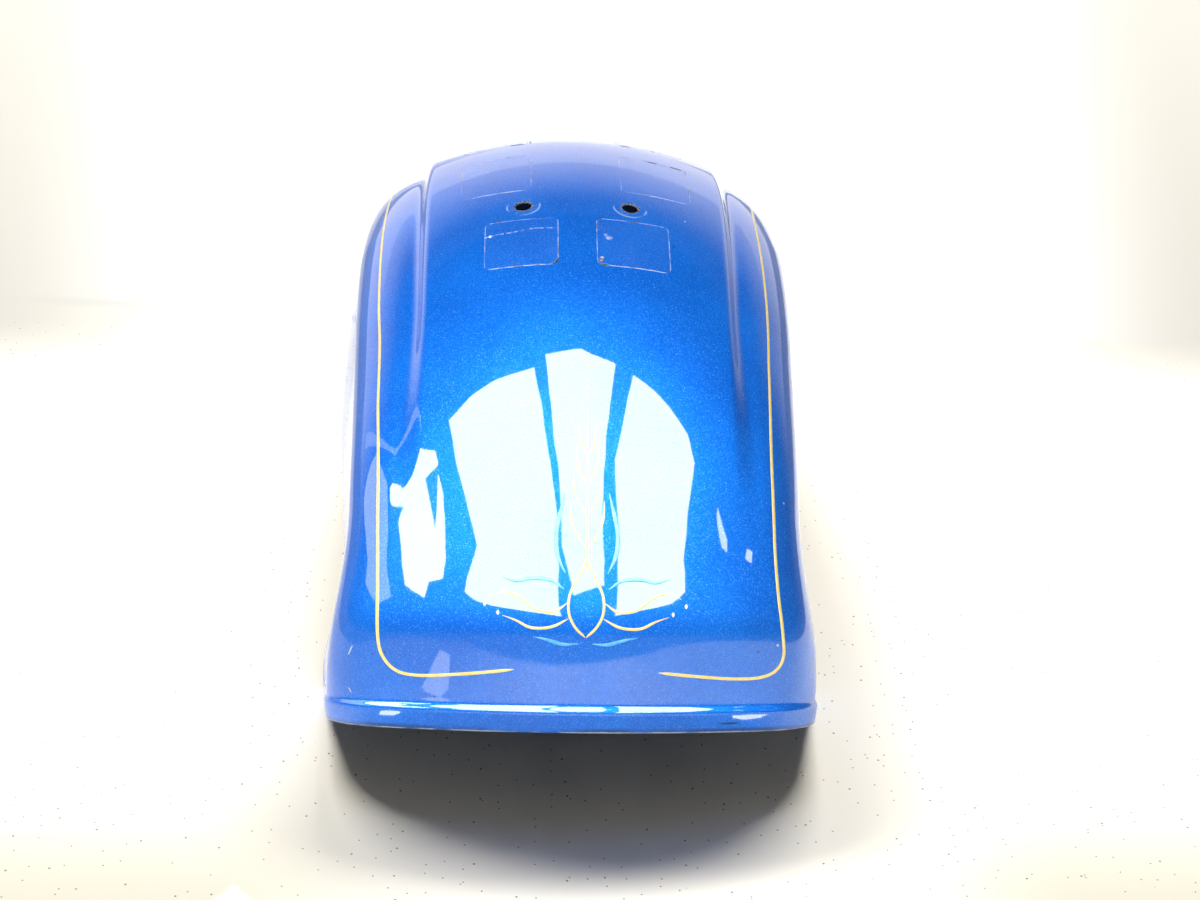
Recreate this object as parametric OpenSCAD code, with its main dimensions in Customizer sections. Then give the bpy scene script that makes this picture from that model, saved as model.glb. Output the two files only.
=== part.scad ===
// Motorcycle rear fender: one pressed steel shell with a raised centre panel, deep skirts,
// a kicked-out hemmed lip at the tail, two bolt holes on top and six clear film patches.
// It stands on its tail corners and on its front edge. X is across, the tail is at -Y.

/* [Crown line] */
// Angle of the steep tail stretch above the horizontal
tail_heading = 78; // [74:1:82]
// Length of the steep tail stretch, above the crease
tail_run = 36; // [26:1:46]
// Radius of the bend above the steep stretch
tail_bend_r = 50; // [40:1:70]
// Angle of the crown where that bend ends
tail_bend_end = 57; // [52:1:62]
// Radius of the crown between the bend and the apex
rear_r = 294; // [275:1:320]
// Radius of the crown from the apex to the front edge
front_r = 288; // [275:1:320]
// Angle at which the tail end is cut, from the vertical section
tail_cut = 60; // [50:0.5:62]

/* [Section] */
// Depth of the pressing from the crown down to the crease of the skirt hem
skirt_depth = 112; // [100:1:124]
// Lean of the skirts away from the vertical
skirt_lean = 9.5; // [5:0.5:13]
// Half width of the raised centre panel
panel_half = 77; // [68:1:84]
// Crown radius of the raised centre panel
panel_r = 200; // [170:5:260]
// Radius of the outer edge of the raised panel
step_edge_r = 6; // [4:0.5:9]
// Steepest angle of the step beside the panel
step_angle = 66; // [50:1:75]
// Straight run down the step
step_run = 4.5; // [2:0.5:8]
// Radius of the valley at the foot of the step
valley_r = 8; // [5:0.5:12]
// Slope at which the shoulder leaves the valley
valley_angle = 20; // [12:1:28]
// Radius of the rounded shoulder
shoulder_r = 46; // [38:1:54]

/* [Tail section] */
// Half width of the plain crown arc at the tail
tail_half = 96; // [84:1:104]
// Radius of the plain crown arc at the tail
tail_r = 230; // [200:5:280]
// Radius of the tail shoulder
tail_shoulder_r = 38; // [32:1:44]
// Lean of the skirts at the tail, from the vertical
tail_lean = 5; // [3:0.5:8]
// Extra half width at the very tail
tail_flare = 11; // [6:0.5:14]
// Length over which that flare dies out
tail_flare_run = 120; // [90:1:150]
// Extra half width of the body from the apex forward
front_gain = 7; // [2:0.5:12]
// Distance from the crease at which the step starts to rise
step_fade_start = 95; // [80:1:115]
// Length over which the step rises to its full height
step_fade_run = 150; // [110:1:200]

/* [Lip and sheet] */
// Thickness of the sheet
sheet = 1.2; // [0.8:0.1:1.8]
// Angle by which the lip kicks out at the crease
lip_kick = 40; // [30:1:46]
// Radius of the crease
crease_r = 3; // [2:0.5:5]
// Width of the shelf that sticks out beyond the crease
shelf_run = 1; // [0.5:0.5:3]
// Radius of the edge where the shelf rolls over into the band
lip_edge_r = 3; // [2:0.5:5]
// Angle of that roll
lip_roll = 42; // [34:1:48]
// Height of the band below the rolled edge, at the middle of the tail
band_run = 11.5; // [9:0.5:14]
// Angle by which the band curves in towards its hem
band_turn = 6; // [4:1:12]
// Width of the skirt edge beyond the crease
skirt_edge_run = 5; // [5:0.5:8]
// Width of the folded hem
hem_run = 4.5; // [3.5:0.5:4.5]
// Thickness of the folded hem
hem_thickness = 2.6; // [2:0.1:3.6]
// Length of crown over which the tail corners round off
corner_run = 14; // [10:1:20]
// Length of skirt over which they round off
corner_r = 9; // [7:1:14]

/* [Bolt holes] */
// Diameter of each bolt hole
hole_d = 9; // [6:0.5:12]
// Distance between the two bolt holes
hole_spacing = 60; // [50:1:72]
// Distance of the holes behind the apex, towards the tail
hole_back = 39; // [30:1:50]

/* [Film patches] */
// Width of every film patch
film_width = 41; // [36:0.5:44]
// Length of the two patches behind the holes
film_rear_length = 41; // [34:1:44]
// Length of the four patches ahead of the holes
film_upper_length = 56; // [46:1:60]
// Corner radius of a film patch
film_corner_r = 4; // [2:0.5:6]
// Thickness of the film
film_thickness = 0.25; // [0.15:0.05:0.5]
// Distance of the rear patches from the centre line
film_rear_inset = 10.5; // [7:0.5:16]
// Distance of the patches ahead of the holes from the centre line
film_upper_inset = 25.5; // [20:0.5:28]
// Distance of the rear patches behind the line of the holes
film_rear_gap = 14; // [10:1:20]
// Distance of the middle patches ahead of the line of the holes
film_middle_gap = 18; // [12:1:24]
// Distance between the middle and the front patches
film_row_gap = 34; // [24:1:44]

/* [Hidden] */
paint_blue = [0.05, 0.38, 0.86];
film_clear = [0.72, 0.84, 0.97, 0.5];

// Facets along each piece of the crown line and of the half section
row_counts = [3, 3, 14, 14];
column_counts = [6, 3, 1, 3, 5, 2];
corner_steps = 4;
// Length of crown over which the rows straighten out past the rounded corners
corner_reach = 90;
// The lip narrows and flattens between these two distances around the tail edge
lip_fade_from = 85;
lip_fade_past_corner = 80;
// Part of the hem run taken by the fold's own little step
hem_step = 0.4;
// Widths that the shelf and its rolled edge keep on the skirts, where they lie flat
flat_shelf = 0.4;
flat_edge = 0.6;
// Air left between the film and the true curve of the crown, for the facets below it
film_air = 0.1;
film_columns = 4;
film_rows = 6;
film_corner_steps = 2;
// Steps for the slopes of the surface, in mm along the crown and as a part of the section
slope_s = 0.5;
slope_f = 0.002;
// Extra length of the drills past the sheet
drill_reach = 20;

function unit(v) = v / norm(v);
function ease(t) = let (c = max(0, min(1, t))) c * c * (3 - 2 * c);
function mix(a, b, t) = a * (1 - t) + b * t;
function arc_length(r, turn) = r * abs(turn) * PI / 180;
function total(chain) = [for (piece = chain) piece[0]] * [for (piece = chain) 1];
function starts(chain) = [for (i = 0, at = 0; i < len(chain); at = at + chain[i][0], i = i + 1) at];

// Straight distance covered by an arc of a given length and turn
function chord(run, turn) = abs(turn) < 0.0001 ? run : run * sin(turn / 2) / (turn * PI / 360);

// Point and heading at a distance along a chain of [length, turn] pieces; the last piece runs on
function chain_point(chain, s, heading, at = [0, 0], i = 0) =
    let (last = i == len(chain) - 1 || s <= chain[i][0],
         part = last ? s : chain[i][0],
         turn = chain[i][1] * part / chain[i][0],
         way = heading + turn / 2,
         next = at + chord(part, turn) * [cos(way), sin(way)])
    last ? [next[0], next[1], heading + turn]
         : chain_point(chain, s - chain[i][0], heading + turn, next, i + 1);

// Distances along a chain, with a number of even steps for each piece
function stations(chain, counts) =
    let (from = starts(chain))
    [for (i = [0:len(chain) - 1], k = [0:counts[i] - 1]) from[i] + chain[i][0] * k / counts[i]];

// Section curves as chains, from the centre line out to the hem of the skirt
function with_skirt(curves, lean) =
    let (end = chain_point(curves, total(curves), 0))
    concat(curves, [[(skirt_depth - end[1]) / cos(lean), 0]]);
panel_slope = asin(panel_half / panel_r);
raised_section = with_skirt([
    [arc_length(panel_r, panel_slope), panel_slope],
    [arc_length(step_edge_r, step_angle - panel_slope), step_angle - panel_slope],
    [step_run, 0],
    [arc_length(valley_r, step_angle - valley_angle), valley_angle - step_angle],
    [arc_length(shoulder_r, 90 - skirt_lean - valley_angle), 90 - skirt_lean - valley_angle]], skirt_lean);
tail_slope = asin(tail_half / tail_r);
tail_section = with_skirt([
    [arc_length(tail_r, tail_slope), tail_slope],
    [arc_length(tail_shoulder_r, 90 - tail_lean - tail_slope), 90 - tail_lean - tail_slope]], tail_lean);
raised_length = total(raised_section);
tail_length = total(tail_section);

// Crown line up to the apex
tail_turn = tail_heading - tail_bend_end;
rear_path = [
    [tail_run, 0],
    [arc_length(tail_bend_r, tail_turn), -tail_turn],
    [arc_length(rear_r, tail_bend_end), -tail_bend_end]];
apex_s = total(rear_path);
apex = chain_point(rear_path, apex_s, tail_heading);

// Growth of the section's width, from the flare at the tail to the wider front
function width_scale(s) =
    1 + (tail_flare * ease(1 - s / tail_flare_run) + front_gain * min(1, s / apex_s)) / tail_half;

// Surface point for a distance along the crown and a signed part of the half section
function skin_point(path, tilts, s, f) =
    let (crown = chain_point(path, s, tail_heading),
         raised = chain_point(raised_section, abs(f) * raised_length, 0),
         plain = chain_point(tail_section, abs(f) * tail_length, 0),
         section = mix(plain, raised, ease((s - step_fade_start) / step_fade_run)),
         tilt = lookup(s, tilts))
    [sign(f) * section[0] * width_scale(s),
     crown[0] + section[1] * sin(tilt),
     crown[1] - section[1] * cos(tilt)];

// Point, slopes and outward normal of the surface
function skin_frame(path, tilts, s, f) =
    let (along = unit(skin_point(path, tilts, s + slope_s, f) - skin_point(path, tilts, s - slope_s, f)),
         across = unit(skin_point(path, tilts, s, f + slope_f) - skin_point(path, tilts, s, f - slope_f)))
    [skin_point(path, tilts, s, f), along, across, unit(cross(across, along))];

// Columns of the grid as [part of the half section, corner angle], from the middle to the hem
flat_columns = stations(raised_section, column_counts);
skirt_start = raised_length - raised_section[5][0];
even_columns = [for (c = flat_columns) if (c < skirt_start) c];
skirt_columns = [for (k = [0:column_counts[5] - 1])
    skirt_start + (raised_section[5][0] - corner_r) * k / column_counts[5]];
corner_columns = [for (k = [0:corner_steps])
    let (a = 90 * k / corner_steps) [raised_length - corner_r * (1 - sin(a)), a]];
half_columns = concat([for (c = even_columns) [c / raised_length, 0]],
                      [for (c = skirt_columns) [c / raised_length, 0]],
                      [for (c = corner_columns) [c[0] / raised_length, c[1]]]);
half_count = len(half_columns) - 1;
columns = concat([for (k = [half_count:-1:1]) [-half_columns[k][0], half_columns[k][1]]], half_columns);
column_last = len(columns) - 1;

// Grid distance along the crown, pushed forward where the tail corner is rounded
function grid_s(s, angle) = s + corner_run * (1 - cos(angle)) * max(0, 1 - s / corner_reach);

// Lip and hem beyond the crease: out along a shelf, over an edge and down a band, weaker with strength
crease_run = arc_length(crease_r, lip_kick);
edge_run = arc_length(lip_edge_r, lip_roll);
function lip_chain(strength) = [
    [crease_run, lip_kick * strength],
    [mix(flat_shelf, shelf_run, strength), 0],
    [mix(flat_edge, edge_run, strength), -lip_roll * strength],
    [mix(skirt_edge_run, band_run, strength), -band_turn * strength]];
function lip_stations(chain) =
    let (from = starts(chain), length = total(chain))
    [from[1], from[2], (from[2] + from[3]) / 2, from[3],
     length - hem_run - hem_step, length - hem_run, length];
lip_thickness = [sheet, sheet, sheet, sheet, sheet, hem_thickness, hem_thickness];
lip_steps = len(lip_thickness);
function lip_strength(around) =
    ease(1 - (around - lip_fade_from) / (tail_length + lip_fade_past_corner - lip_fade_from));

// Outer and inner points of the lip at one edge point; flat is true on the front edge
function lip_points(frame, angle, side, strength, flat) =
    let (out = unit(-cos(angle) * frame[1] + side * sin(angle) * frame[2]),
         chain = lip_chain(strength))
    [for (m = [0:lip_steps - 1])
        let (at = chain_point(chain, lip_stations(chain)[m], 0),
             outer = frame[0] + at[0] * out + at[1] * frame[3],
             face = cos(at[2]) * frame[3] - sin(at[2]) * out)
        [outer, outer - lip_thickness[m] * level_if(flat, face)]];
function level_if(flat, v) = flat ? unit([v[0], v[1], 0]) : v;

// Tail edge alone, to find how low its corners reach below the crown line
tail_tilts = [[0, tail_cut], [apex_s, 0]];
tail_edge = [for (c = columns)
    let (s = grid_s(0, c[1]))
    lip_points(skin_frame(rear_path, tail_tilts, s, c[0]), c[1], sign(c[0]),
               lip_strength(abs(c[0]) * tail_length + s), false)];
tail_low = min([for (edge = tail_edge, pair = edge, p = pair) p[2]]);
tail_end = min([for (edge = tail_edge, pair = edge, p = pair) p[1]]);

// The front arc stops where it is level with the tail corners
front_turn = acos(1 - (apex[1] - tail_low) / front_r);
path = concat(rear_path, [[arc_length(front_r, front_turn), -front_turn]]);
path_length = total(path);
front_end = apex[0] + front_r * sin(front_turn);
tilts = [[0, tail_cut], [apex_s, 0], [path_length, -90]];
to_origin = [0, -(tail_end + front_end) / 2, -tail_low];

// Grid of the pressed skin
rows = concat(stations(path, row_counts), [path_length]);
row_last = len(rows) - 1;
frames = [for (s = rows) [for (c = columns) skin_frame(path, tilts, grid_s(s, c[1]), c[0])]];

// Edge of the skin, from the front up one skirt, across the tail and back: [row, column, angle, side]
edge_cells = concat(
    [for (i = [row_last:-1:1]) [i, 0, 90, -1]],
    [for (j = [0:column_last]) [0, j, columns[j][1], j < half_count ? -1 : 1]],
    [for (i = [1:row_last]) [i, column_last, 90, 1]]);
edge_last = len(edge_cells) - 1;
edge_points = [for (cell = edge_cells)
    let (frame = frames[cell[0]][cell[1]],
         around = abs(columns[cell[1]][0]) * tail_length + grid_s(rows[cell[0]], columns[cell[1]][1]))
    lip_points(frame, cell[2], cell[3], lip_strength(around), cell[0] == row_last)];

// Point lists and their numbering: skin outside, skin inside, then the lip outside and inside
row_width = column_last + 1;
skin_count = row_width * (row_last + 1);
lip_count = lip_steps * (edge_last + 1);
function skin_index(i, j, inside) = i * row_width + j + (inside ? skin_count : 0);
function lip_index(k, m, inside) =
    m == 0 ? skin_index(edge_cells[k][0], edge_cells[k][1], inside)
           : 2 * skin_count + k * lip_steps + m - 1 + (inside ? lip_count : 0);
function both_ways(a, b, c, d, other) = other ? [[a, b, d], [b, c, d]] : [[a, b, c], [a, c, d]];
function flipped(faces) = [for (f = faces) [f[2], f[1], f[0]]];

shell_points = concat(
    [for (i = [0:row_last], j = [0:column_last]) frames[i][j][0]],
    [for (i = [0:row_last], j = [0:column_last])
        frames[i][j][0] - sheet * level_if(i == row_last, frames[i][j][3])],
    [for (edge = edge_points, pair = edge) pair[0]],
    [for (edge = edge_points, pair = edge) pair[1]]);

function skin_faces(inside) =
    [for (i = [0:row_last - 1], j = [0:column_last - 1],
          f = both_ways(skin_index(i, j, inside), skin_index(i + 1, j, inside),
                        skin_index(i + 1, j + 1, inside), skin_index(i, j + 1, inside), j < half_count)) f];
function lip_faces(inside) =
    [for (k = [0:edge_last - 1], m = [0:lip_steps - 1],
          f = both_ways(lip_index(k, m, inside), lip_index(k + 1, m, inside),
                        lip_index(k + 1, m + 1, inside), lip_index(k, m + 1, inside),
                        2 * k >= edge_last)) f];
rim_faces =
    [for (k = [0:edge_last - 1],
          f = both_ways(lip_index(k, lip_steps, false), lip_index(k + 1, lip_steps, false),
                        lip_index(k + 1, lip_steps, true), lip_index(k, lip_steps, true),
                        2 * k >= edge_last)) f];
front_faces = concat(
    [for (j = [0:column_last - 1],
          f = both_ways(skin_index(row_last, j, false), skin_index(row_last, j, true),
                        skin_index(row_last, j + 1, true), skin_index(row_last, j + 1, false),
                        j < half_count)) f],
    [for (m = [0:lip_steps - 1],
          f = both_ways(lip_index(0, m, false), lip_index(0, m + 1, false),
                        lip_index(0, m + 1, true), lip_index(0, m, true), false)) f],
    [for (m = [0:lip_steps - 1],
          f = both_ways(lip_index(edge_last, m, false), lip_index(edge_last, m, true),
                        lip_index(edge_last, m + 1, true), lip_index(edge_last, m + 1, false), true)) f]);

// Height of the crown over the holes, for the drills
hole_s = apex_s - arc_length(rear_r, asin(hole_back / rear_r));
hole_centre = skin_point(path, tilts, hole_s, 0) + to_origin;

module pressed_sheet() {
    translate(to_origin)
        polyhedron(points = shell_points,
                   faces = concat(skin_faces(false), flipped(skin_faces(true)),
                                  lip_faces(false), flipped(lip_faces(true)),
                                  rim_faces, front_faces),
                   convexity = 6);
}

module fender_shell() {
    color(paint_blue)
    difference() {
        pressed_sheet();
        for (side = [-1, 1])
            translate([side * hole_spacing / 2, hole_centre[1], hole_centre[2] - drill_reach])
                cylinder(h = 2 * drill_reach, d = hole_d, $fn = 48);
    }
}

// Lines along a rounded rectangle: [distance from its rear edge, inset of the line's ends]
function film_lines(length) =
    let (r = film_corner_r,
         rounds = [for (k = [0:film_corner_steps])
             let (a = 90 * k / film_corner_steps) r * [1 - cos(a), 1 - sin(a)]])
    concat(rounds,
           [for (k = [1:film_rows - 1]) [r + (length - 2 * r) * k / film_rows, 0]],
           [for (k = [film_corner_steps:-1:0]) [length - rounds[k][0], rounds[k][1]]]);

// One film patch: its rear edge lies ahead of the holes by start, its inner edge at inset
module film(start, length, inset, side) {
    lines = film_lines(length);
    grid = [for (line = lines)
        let (s = hole_s + start + line[0], along_section = raised_length * width_scale(s))
        [for (j = [0:film_columns])
            let (part = side < 0 ? 1 - j / film_columns : j / film_columns,
                 x = inset + line[1] + (film_width - 2 * line[1]) * part,
                 frame = skin_frame(path, tilts, s, side * x / along_section))
            [for (lift = [film_air, film_air + film_thickness]) frame[0] + lift * frame[3]]]];
    last = len(lines) - 1;
    width = film_columns + 1;
    count = width * (last + 1);
    function at(i, j, top) = i * width + j + (top ? count : 0);
    function sheet_faces(top) =
        [for (i = [0:last - 1], j = [0:film_columns - 1],
              f = both_ways(at(i, j, top), at(i + 1, j, top), at(i + 1, j + 1, top),
                            at(i, j + 1, top), side < 0)) f];
    around = concat([for (j = [0:film_columns - 1]) [0, j]],
                    [for (i = [0:last - 1]) [i, film_columns]],
                    [for (j = [film_columns:-1:1]) [last, j]],
                    [for (i = [last:-1:1]) [i, 0]]);
    function wall(k) =
        let (a = around[k], b = around[(k + 1) % len(around)])
        both_ways(at(a[0], a[1], true), at(b[0], b[1], true),
                  at(b[0], b[1], false), at(a[0], a[1], false), false);
    color(film_clear)
    translate(to_origin)
        polyhedron(points = concat([for (line = grid, p = line) p[0]], [for (line = grid, p = line) p[1]]),
                   faces = concat(sheet_faces(true), flipped(sheet_faces(false)),
                                  [for (k = [0:len(around) - 1], f = wall(k)) f]),
                   convexity = 2);
}

// Rear edges of the three rows of patches, ahead of the holes
rear_row = -film_rear_gap - film_rear_length;
middle_row = film_middle_gap;
front_row = middle_row + film_upper_length + film_row_gap;

module film_rear_left() { film(rear_row, film_rear_length, film_rear_inset, -1); }
module film_rear_right() { film(rear_row, film_rear_length, film_rear_inset, 1); }
module film_middle_left() { film(middle_row, film_upper_length, film_upper_inset, -1); }
module film_middle_right() { film(middle_row, film_upper_length, film_upper_inset, 1); }
module film_front_left() { film(front_row, film_upper_length, film_upper_inset, -1); }
module film_front_right() { film(front_row, film_upper_length, film_upper_inset, 1); }

fender_shell();
film_rear_left();
film_rear_right();
film_middle_left();
film_middle_right();
film_front_left();
film_front_right();
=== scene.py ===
import math

import bpy
import numpy as np
from mathutils import Matrix, Vector


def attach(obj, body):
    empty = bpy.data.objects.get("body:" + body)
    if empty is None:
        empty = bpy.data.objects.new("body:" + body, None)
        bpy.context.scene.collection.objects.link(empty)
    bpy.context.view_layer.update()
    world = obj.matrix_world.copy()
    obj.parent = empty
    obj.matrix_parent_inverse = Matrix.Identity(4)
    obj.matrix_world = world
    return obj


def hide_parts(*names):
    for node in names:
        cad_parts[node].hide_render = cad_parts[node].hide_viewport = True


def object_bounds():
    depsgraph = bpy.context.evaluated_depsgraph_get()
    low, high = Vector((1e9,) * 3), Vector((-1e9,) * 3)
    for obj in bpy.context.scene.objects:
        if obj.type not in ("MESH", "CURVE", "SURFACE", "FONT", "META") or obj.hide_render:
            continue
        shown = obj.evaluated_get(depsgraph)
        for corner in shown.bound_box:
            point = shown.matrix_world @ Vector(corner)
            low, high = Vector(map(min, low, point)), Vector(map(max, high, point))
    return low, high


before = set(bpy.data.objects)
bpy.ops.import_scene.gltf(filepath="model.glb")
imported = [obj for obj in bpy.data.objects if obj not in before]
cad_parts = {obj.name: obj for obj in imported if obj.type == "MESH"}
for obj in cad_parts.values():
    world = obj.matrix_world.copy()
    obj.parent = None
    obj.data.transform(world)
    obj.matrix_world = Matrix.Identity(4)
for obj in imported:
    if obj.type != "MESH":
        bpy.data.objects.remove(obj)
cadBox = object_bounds()
print("frame loaded")

mm = 0.001

# The pressing's crown line and sections, in millimetres and degrees, as in the part's source
pressing = {
    "tailHeading": 78,
    "tailRun": 36,
    "tailBendRadius": 50,
    "tailBendEnd": 57,
    "rearRadius": 294,
    "frontRadius": 288,
    "tailCut": 60,
    "skirtDepth": 112,
    "skirtLean": 9.5,
    "panelHalf": 77,
    "panelRadius": 200,
    "stepEdgeRadius": 6,
    "stepAngle": 66,
    "stepRun": 4.5,
    "valleyRadius": 8,
    "valleyAngle": 20,
    "shoulderRadius": 46,
    "tailHalf": 96,
    "tailRadius": 230,
    "tailShoulderRadius": 38,
    "tailLean": 5,
    "tailFlare": 11,
    "tailFlareRun": 120,
    "frontGain": 7,
    "stepFadeStart": 95,
    "stepFadeRun": 150,
    "sheet": 1.2,
    "cornerRun": 14,
    "cornerRadius": 9,
    "cornerReach": 90,
    # the real sheet isn't quite even: depth and length of its low waves
    "waveDepth": 0.008,
    "waveLength": 34,
}

# The lip beyond the crease, and the folded hem at its edge
lip = {
    "kick": 40,
    "creaseRadius": 3,
    "shelf": 1,
    "flatShelf": 0.4,
    "edgeRadius": 3,
    "flatEdge": 0.6,
    "roll": 42,
    "band": 11.5,
    "bandTurn": 6,
    "skirtEdgeRun": 5,
    "hemRun": 4.5,
    "hemThickness": 2.6,
    "hemStep": 0.4,
    "fadeFrom": 85,
    "fadePastCorner": 80,
    # steps of the crease, shelf, rolled edge, band, hem and the hem's rounded end
    "steps": [5, 2, 6, 5, 4, 6],
    "hemRoundness": 0.4,
}

boltHoles = {"diameter": 9, "spacing": 60, "behindApex": 39, "halfBlock": 8}

# Spacing of the rows along the crown and of the columns across each stretch of the section
meshing = {
    "rowGap": 4.2,
    "tailRowGap": 2.4,
    "tailRowsEnd": 80,
    "columnGaps": [3.6, 1.0, 1.6, 1.2, 2.6, 3.4],
    "cornerSteps": 14,
    # cells along each side of the open block round a bolt hole
    "holeCells": 8,
}


def arcLength(radius, turn):
    return radius * abs(math.radians(turn))


def ease(t):
    c = np.clip(t, 0, 1)
    return c * c * (3 - 2 * c)


def unit(v):
    return v / np.linalg.norm(v, axis=-1, keepdims=True)


class Chain:
    # a curve made of pieces that each have a length and a turn in degrees
    def __init__(self, pieces, heading=0.0):
        self.pieces = pieces
        self.starts, self.places, self.headings = [0.0], [np.zeros(2)], [heading]
        for length, turn in pieces:
            way = math.radians(self.headings[-1] + turn / 2)
            step = self.chord(length, turn) * np.array([math.cos(way), math.sin(way)])
            self.starts.append(self.starts[-1] + length)
            self.places.append(self.places[-1] + step)
            self.headings.append(self.headings[-1] + turn)
        self.length = self.starts[-1]

    def chord(self, run, turn):
        half = np.radians(turn) / 2
        return run * np.sinc(half / np.pi)

    def at(self, s):
        # point and heading at each distance, with the last piece running on
        s = np.asarray(s, float)
        k = np.clip(np.searchsorted(self.starts, s, side="right") - 1, 0, len(self.pieces) - 1)
        table = np.array(self.pieces, float)
        run = s - np.array(self.starts)[k]
        turn = table[k, 1] * run / table[k, 0]
        heading = np.array(self.headings)[k]
        way = np.radians(heading + turn / 2)
        chord = self.chord(run, turn)
        place = np.array(self.places)[k]
        return place[..., 0] + chord * np.cos(way), place[..., 1] + chord * np.sin(way), heading + turn


def withSkirt(curves, slope, shoulder, lean):
    # the shoulder turns from a slope down to the lean of the straight skirt
    turn = 90 - lean - slope
    curves = curves + [(arcLength(shoulder, turn), turn)]
    deep = float(Chain(curves).at(Chain(curves).length)[1])
    return Chain(curves + [((pressing["skirtDepth"] - deep) / math.cos(math.radians(lean)), 0)])


p = pressing
panelSlope = math.degrees(math.asin(p["panelHalf"] / p["panelRadius"]))
tailSlope = math.degrees(math.asin(p["tailHalf"] / p["tailRadius"]))
raised = withSkirt(
    [
        (arcLength(p["panelRadius"], panelSlope), panelSlope),
        (arcLength(p["stepEdgeRadius"], p["stepAngle"] - panelSlope), p["stepAngle"] - panelSlope),
        (p["stepRun"], 0),
        (arcLength(p["valleyRadius"], p["stepAngle"] - p["valleyAngle"]), p["valleyAngle"] - p["stepAngle"]),
    ],
    p["valleyAngle"],
    p["shoulderRadius"],
    p["skirtLean"],
)
plain = withSkirt(
    [(arcLength(p["tailRadius"], tailSlope), tailSlope)],
    tailSlope,
    p["tailShoulderRadius"],
    p["tailLean"],
)
tailTurn = p["tailHeading"] - p["tailBendEnd"]
rearPieces = [
    (p["tailRun"], 0),
    (arcLength(p["tailBendRadius"], tailTurn), -tailTurn),
    (arcLength(p["rearRadius"], p["tailBendEnd"]), -p["tailBendEnd"]),
]
crown = Chain(rearPieces, p["tailHeading"])
apexAt = crown.length
apexHeight = float(crown.at(apexAt)[1])
boxLow, boxHigh = (np.array(c) / mm for c in cadBox)


def widthScale(s):
    flare = p["tailFlare"] * ease(1 - s / p["tailFlareRun"])
    return 1 + (flare + p["frontGain"] * np.minimum(1, s / apexAt)) / p["tailHalf"]


class Skin:
    # the outer surface: s runs along the crown from the crease, f is the signed part of the half section
    def __init__(self, line, tilts, origin):
        self.line, self.tilts, self.origin = line, tilts, np.array(origin, float)

    def point(self, s, f):
        s, f = np.broadcast_arrays(np.asarray(s, float), np.asarray(f, float))
        y, z, _ = self.line.at(s)
        wide, deep, slope = raised.at(np.abs(f) * raised.length)
        wideTail, deepTail, slopeTail = plain.at(np.abs(f) * plain.length)
        part = ease((s - p["stepFadeStart"]) / p["stepFadeRun"])
        wide, deep = wideTail + (wide - wideTail) * part, deepTail + (deep - deepTail) * part
        slope = np.radians(slopeTail + (slope - slopeTail) * part)
        wave = self.wave(s, f)
        wide, deep = wide + wave * np.sin(slope), deep - wave * np.cos(slope)
        tilt = np.radians(np.interp(s, *zip(*self.tilts)))
        x = np.sign(f) * wide * widthScale(s)
        return np.stack([x, y + deep * np.sin(tilt), z - deep * np.cos(tilt)], -1) + self.origin

    def wave(self, s, f):
        # low waves of the hand-finished sheet, gone at the crease so that the edge stays true
        a, b = s * 2 * np.pi / p["waveLength"], f * raised.length * 2 * np.pi / p["waveLength"]
        shape = (
            np.sin(a * 0.83 + b * 0.41 + 1.7)
            + np.sin(a * 0.37 - b * 0.92 + 0.4)
            + 0.6 * np.sin(a * 1.31 + b * 1.13 + 2.9)
            + 0.4 * np.sin(a * 1.9 - b * 1.57 + 5.1)
        )
        return p["waveDepth"] * shape * ease(s / 40) * ease((1 - np.abs(f)) * 8)

    def frame(self, s, f):
        # point, direction along the crown, direction across it and outward normal
        s, f = np.broadcast_arrays(np.asarray(s, float), np.asarray(f, float))
        along = unit(self.point(s + 0.5, f) - self.point(s - 0.5, f))
        across = unit(self.point(s, f + 0.002) - self.point(s, f - 0.002))
        return self.point(s, f), along, across, unit(np.cross(across, along))


# the source closes the front where it is level with the tail corners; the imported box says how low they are
tailLow = apexHeight - (boxHigh[2] - boxLow[2])
frontTurn = math.degrees(math.acos(1 - (apexHeight - tailLow) / p["frontRadius"]))
crown = Chain(rearPieces + [(arcLength(p["frontRadius"], frontTurn), -frontTurn)], p["tailHeading"])
frontEnd = float(crown.at(apexAt)[0]) + p["frontRadius"] * math.sin(math.radians(frontTurn))
tilts = [(0, p["tailCut"]), (apexAt, 0), (crown.length, -90)]
skin = Skin(crown, tilts, [0, boxHigh[1] - frontEnd, -tailLow])
holeAt = apexAt - arcLength(p["rearRadius"], math.degrees(math.asin(boltHoles["behindApex"] / p["rearRadius"])))
print("crown line", round(crown.length, 1), "mm, holes at", round(holeAt, 1))


def gridAlong(s, angle):
    return s + p["cornerRun"] * (1 - np.cos(np.radians(angle))) * np.maximum(0, 1 - s / p["cornerReach"])


def acrossScale(s):
    # millimetres of surface across for a whole half section
    return raised.length * widthScale(s)


def onSkin(s, across, lift=0.0):
    # point at a distance along the crown and a distance across it, lifted off the surface
    place, _, _, normal = skin.frame(s, across / acrossScale(s))
    return place + np.asarray(lift)[..., None] * normal


def newMesh(name, points, faces, attributes=None, sharpAngle=32):
    mesh = bpy.data.meshes.new(name)
    mesh.from_pydata([tuple(v) for v in np.asarray(points) * mm], [], faces)
    for key, values in (attributes or {}).items():
        layer = mesh.attributes.new(key, "FLOAT", "POINT")
        layer.data.foreach_set("value", np.asarray(values, np.float32))
    mesh.update()
    mesh.shade_smooth()
    mesh.set_sharp_from_angle(angle=math.radians(sharpAngle))
    piece = bpy.data.objects.new(name, mesh)
    bpy.context.scene.collection.objects.link(piece)
    return piece


def spread(start, end, gap):
    steps = max(1, round((end - start) / gap))
    return list(np.linspace(start, end, steps, endpoint=False))


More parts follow.
